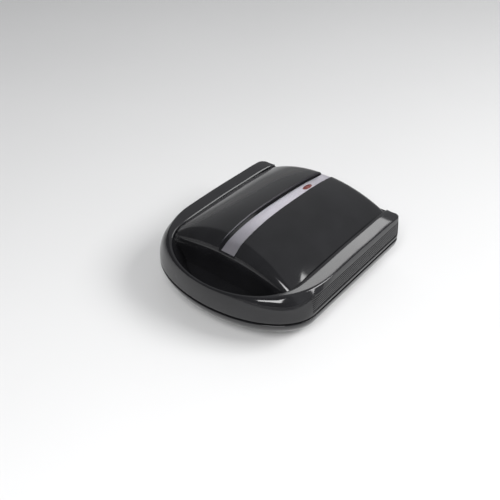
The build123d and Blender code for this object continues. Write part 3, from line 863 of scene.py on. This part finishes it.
def indicatorLens():
    # a sphere pressed to an oval block: its upper half is a low dome that follows the slope of the strip
    low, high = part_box("indicator_lens")
    deselectAll()
    bpy.ops.mesh.primitive_uv_sphere_add(segments=lens["sides"], ring_count=24, radius=1, location=(0, 0, 0))
    piece = bpy.context.object
    piece.name = "indicatorLensSkin"
    middle, size = (low + high) / 2, (high - low) / 2
    for point in piece.data.vertices:
        radius, upper = math.hypot(point.co.x, point.co.y), point.co.z > -0.001
        x, y = middle.x + size.x * point.co.x, middle.y + size.y * point.co.y
        depth = rimY - y * 1000
        stripTop = place(0, 0, channelFloor(depth, crownAt(depth)) + strip["thickness"])[2]
        dome = stripTop + lens["proud"] + lens["rise"] * (1 - min(1.0, radius) ** 2.4)
        point.co = (x, y, dome if upper else low.z)
    softShade(piece, 60)
    finishPiece(piece, "lid", "lens_red", materials["lens_red"], "indicator_lens")
    print("strip and lens")


trimStrip()
indicatorLens()

# mould plates: 24 wells below, 24 bumps above, each cut or raised from one walnut half

plate = {
    "half": 108, "rear": 11, "front": 212, "corner": 10, "edge": 0.3, "gap": 0.8, "face": 4.3,
    "columns": (-81, -27, 27, 81), "firstRow": 31, "rowPitch": 31, "rows": 6,
    # troughs under the wells, one for each column
    "low": 17, "troughHalf": 23.2, "troughEnd": 16.6, "troughCorner": 8, "troughEdge": 1.5,
    # half length, radius and depth of the shell's wrinkles
    "well": (20.5, 14.0, 0.75), "bump": (17.0, 10.5, 0.25),
}


def walnut(name, halfLength, radius, wrinkle):
    # a sphere drawn out to a blunt oval, with the winding ridges of a walnut pressed into it
    deselectAll()
    bpy.ops.mesh.primitive_uv_sphere_add(segments=72, ring_count=40, radius=1, location=(0, 0, 0),
                                         rotation=(0, math.pi / 2, 0))
    piece = bpy.context.object
    piece.name = name
    bpy.ops.object.transform_apply(location=True, rotation=True, scale=True)
    for point in piece.data.vertices:
        way = point.co.normalized()
        blunt = (abs(way.x) ** 2.5 + (way.y**2 + way.z**2) ** 1.25) ** (-1 / 2.5)
        spot = Vector((way.x * 2.1, way.y * 2.6, abs(way.z) * 2.6))
        winding = noise.noise(spot * 1.5) * 1.7
        ridge = abs(math.sin(4.2 * way.x + 5.0 * abs(way.y) + 3.0 * winding))
        fade = min(1.0, max(0.0, (abs(way.z) - 0.02) / 0.15))
        depth = wrinkle * fade * (1 - ridge) ** 2
        across = blunt * (radius - depth)
        point.co = Vector((way.x * blunt * (halfLength - depth), way.y * across, way.z * across))
    return piece


def nutCopies(piece):
    # one copy of a walnut in each place of the grid, all joined
    copies = []
    for x in plate["columns"]:
        for row in range(plate["rows"]):
            depth = plate["firstRow"] + plate["rowPitch"] * row
            copy = bpy.data.objects.new(piece.name, piece.data.copy())
            bpy.context.scene.collection.objects.link(copy)
            scaled = Matrix.Translation(Vector(place(x, -depth, 0))) @ Matrix.Scale(0.001, 4)
            copy.data.transform(scaled)
            copies.append(copy)
    bpy.data.objects.remove(piece, do_unlink=True)
    return joinPieces(copies[0], copies[1:])


def roundedSlab(name, low, high, corner, edge):
    # a flat plate between two corners, with round corners and softly broken edges
    piece = roundedBox(name, low, high, 0)
    makeActive(piece)
    bpy.ops.object.mode_set(mode="EDIT")
    bpy.ops.mesh.select_mode(type="EDGE")
    bpy.ops.mesh.select_all(action="DESELECT")
    bpy.ops.object.mode_set(mode="OBJECT")
    for line in piece.data.edges:
        a, b = (piece.data.vertices[i].co for i in line.vertices)
        line.select = abs(a.z - b.z) > 0.0005
    bpy.ops.object.mode_set(mode="EDIT")
    bpy.ops.mesh.bevel(offset=corner / 1000, segments=10)
    bpy.ops.mesh.select_mode(type="VERT")
    bpy.ops.object.mode_set(mode="OBJECT")
    bevelEdges(piece, edge)
    return piece


def plainPlate(name, low, high):
    half, rear, front = plate["half"], plate["rear"], plate["front"]
    return roundedSlab(name, (-half, -front, low), (half, -rear, high), plate["corner"], plate["edge"])


def mouldPlates():
    gap, face = plate["gap"], plate["face"]
    rear = plate["firstRow"] - plate["troughEnd"]
    front = plate["firstRow"] + (plate["rows"] - 1) * plate["rowPitch"] + plate["troughEnd"]
    lower = plainPlate("lowerPlateSkin", -face, -gap)
    for x in plate["columns"]:
        lowCorner = (x - plate["troughHalf"], -front, -plate["low"])
        highCorner = (x + plate["troughHalf"], -rear, 0.5 - face)
        trough = roundedSlab("trough", lowCorner, highCorner, plate["troughCorner"], plate["troughEdge"])
        cutWith(lower, trough, "UNION")
    cutWith(lower, nutCopies(walnut("well", *plate["well"])))
    softShade(lower, 38)
    finishPiece(lower, "base", "cast_dark", materials["cast_dark"], "lower_mould_plate")
    upper = plainPlate("upperPlateSkin", gap, face)
    bumps = nutCopies(walnut("bump", *plate["bump"]))
    cutWith(bumps, roundedBox("above", (-120, -230, 2.5), (120, 5, 30), 0))  # only the lower halves stay
    cutWith(upper, bumps, "UNION")
    softShade(upper, 38)
    finishPiece(upper, "lid", "cast_dark", materials["cast_dark"], "upper_mould_plate")
    print("mould plates", len(lower.data.polygons), len(upper.data.polygons), "faces")


mouldPlates()

# floor and backdrop

studio = {"floor": (0.80, 0.80, 0.80), "radius": 3.2, "wall": 0.62, "bend": 0.5}


def floorAndBackdrop():
    # a round floor whose edge bends up to a low wall
    deselectAll()
    bpy.ops.mesh.primitive_circle_add(vertices=96, radius=studio["radius"] - studio["bend"], fill_type="NGON")
    piece = bpy.context.object
    piece.name = "studioFloor"
    mesh = bmesh.new()
    mesh.from_mesh(piece.data)
    edge = [e for e in mesh.edges if e.is_boundary]
    for i in range(1, 13):
        angle = math.pi / 2 * i / 12
        made = bmesh.ops.extrude_edge_only(mesh, edges=edge)
        points = [g for g in made["geom"] if isinstance(g, bmesh.types.BMVert)]
        edge = [g for g in made["geom"] if isinstance(g, bmesh.types.BMEdge)]
        reach = studio["radius"] - studio["bend"] + studio["bend"] * math.sin(angle)
        for point in points:
            flat = Vector((point.co.x, point.co.y, 0)).normalized() * reach
            point.co = Vector((flat.x, flat.y, studio["bend"] * (1 - math.cos(angle))))
    made = bmesh.ops.extrude_edge_only(mesh, edges=edge)
    for point in [g for g in made["geom"] if isinstance(g, bmesh.types.BMVert)]:
        point.co.z = studio["wall"]
    bmesh.ops.recalc_face_normals(mesh, faces=mesh.faces)
    mesh.to_mesh(piece.data)
    mesh.free()
    softShade(piece, 40)
    material, tree, shader = startMaterial("studioPaper")
    cloud = objectPattern(tree, 3, Detail=3)
    colour(tree, shader, cloud, tuple(0.985 * level for level in studio["floor"]), studio["floor"])
    shader.inputs["Roughness"].default_value = 0.85
    shader.inputs["Specular IOR Level"].default_value = 0.2
    piece.data.materials.append(material)


floorAndBackdrop()

# lamps: azimuth is measured from the camera's side (-Y) towards +X, each aims at its own point

lamps = {
    "railLight": {"azimuth": 212.6, "elevation": 39.6, "distance": 2.4, "aim": (0.112, 0, 0.08), "turn": 32.6,
                  "size": (0.36, 1.08), "power": 5.2, "onto": ("lidFrameSkin", "trimStripSkin")},
    "rightKey": {"azimuth": 116, "elevation": 42, "distance": 2.4, "aim": (0, 0, 0.05), "turn": 0,
                 "size": (1.3, 1.0), "power": 40},
    "frontFill": {"azimuth": 32, "elevation": 46, "distance": 2.2, "aim": (0, 0, 0.05), "turn": 0,
                  "size": (0.9, 0.9), "power": 34},
}


def wayTo(azimuth, elevation):
    # the direction from the body towards a lamp or the camera
    level = math.cos(elevation)
    return Vector((math.sin(azimuth) * level, -math.cos(azimuth) * level, math.sin(elevation)))


def softLamps():
    for name, lamp in lamps.items():
        azimuth, elevation, turn = (math.radians(lamp[key]) for key in ("azimuth", "elevation", "turn"))
        away = wayTo(azimuth, elevation)
        along = Vector((math.cos(azimuth), math.sin(azimuth), 0))
        upward = away.cross(along)
        long = math.cos(turn) * upward + math.sin(turn) * along
        data = bpy.data.lights.new(name, "AREA")
        data.shape = "RECTANGLE"
        data.size, data.size_y = lamp["size"]
        data.energy = lamp["power"]
        holder = bpy.data.objects.new(name, data)
        axes = Matrix((long.cross(away), long, away)).transposed().to_4x4()
        holder.matrix_world = Matrix.Translation(Vector(lamp["aim"]) + away * lamp["distance"]) @ axes
        bpy.context.scene.collection.objects.link(holder)
        if "onto" in lamp:  # this lamp only lights these pieces
            lit = bpy.data.collections.new(name + "Pieces")
            for piece in lamp["onto"]:
                lit.objects.link(bpy.data.objects[piece])
            holder.light_linking.receiver_collection = lit


softLamps()

roomLook = {"back": 0.42, "front": 0.13, "frontward": (-0.358, -0.934, 0.0), "soft": 0.035}


def roomLight():
    # an even room that is darker on the camera's side
    world = bpy.data.worlds.new("room")
    world.use_nodes = True
    tree = world.node_tree
    background = tree.nodes["Background"]
    background.inputs["Color"].default_value = (0.97, 0.98, 1, 1)
    coordinates = tree.nodes.new("ShaderNodeTexCoord")
    towards = tree.nodes.new("ShaderNodeVectorMath")
    towards.operation = "DOT_PRODUCT"
    towards.inputs[1].default_value = roomLook["frontward"]
    level = tree.nodes.new("ShaderNodeMapRange")
    level.interpolation_type = "SMOOTHSTEP"
    for key, value in (("From Min", -roomLook["soft"]), ("From Max", roomLook["soft"]),
                       ("To Min", roomLook["back"]), ("To Max", roomLook["front"])):
        level.inputs[key].default_value = value
    tree.links.new(coordinates.outputs["Generated"], towards.inputs[0])
    tree.links.new(towards.outputs["Value"], level.inputs["Value"])
    tree.links.new(level.outputs["Result"], background.inputs["Strength"])
    bpy.context.scene.world = world


roomLight()

# camera: the angle and framing of the photograph

view = {"azimuth": 38.52, "elevation": 36.78, "roll": -0.41, "place": (0.4711, -0.5953, 0.6295),
        "lens": 50.07, "shift": (-0.0424, -0.0264)}


def photoCamera():
    azimuth, elevation, roll = (math.radians(view[key]) for key in ("azimuth", "elevation", "roll"))
    back = wayTo(azimuth, elevation)
    right = (-back).cross(Vector((0, 0, 1))).normalized()
    up = right.cross(-back).normalized()
    turnedRight = math.cos(roll) * right + math.sin(roll) * up
    turnedUp = -math.sin(roll) * right + math.cos(roll) * up
    data = bpy.data.cameras.new("photoCamera")
    data.sensor_fit = "HORIZONTAL"
    data.sensor_width = 36
    data.lens = view["lens"]
    data.shift_x, data.shift_y = view["shift"]
    data.clip_start = 0.01
    camera = bpy.data.objects.new("photoCamera", data)
    turn = Matrix((turnedRight, turnedUp, back)).transposed().to_4x4()
    camera.matrix_world = Matrix.Translation(Vector(view["place"])) @ turn
    bpy.context.scene.collection.objects.link(camera)
    bpy.context.scene.camera = camera


photoCamera()
bpy.context.scene.view_settings.view_transform = "Standard"
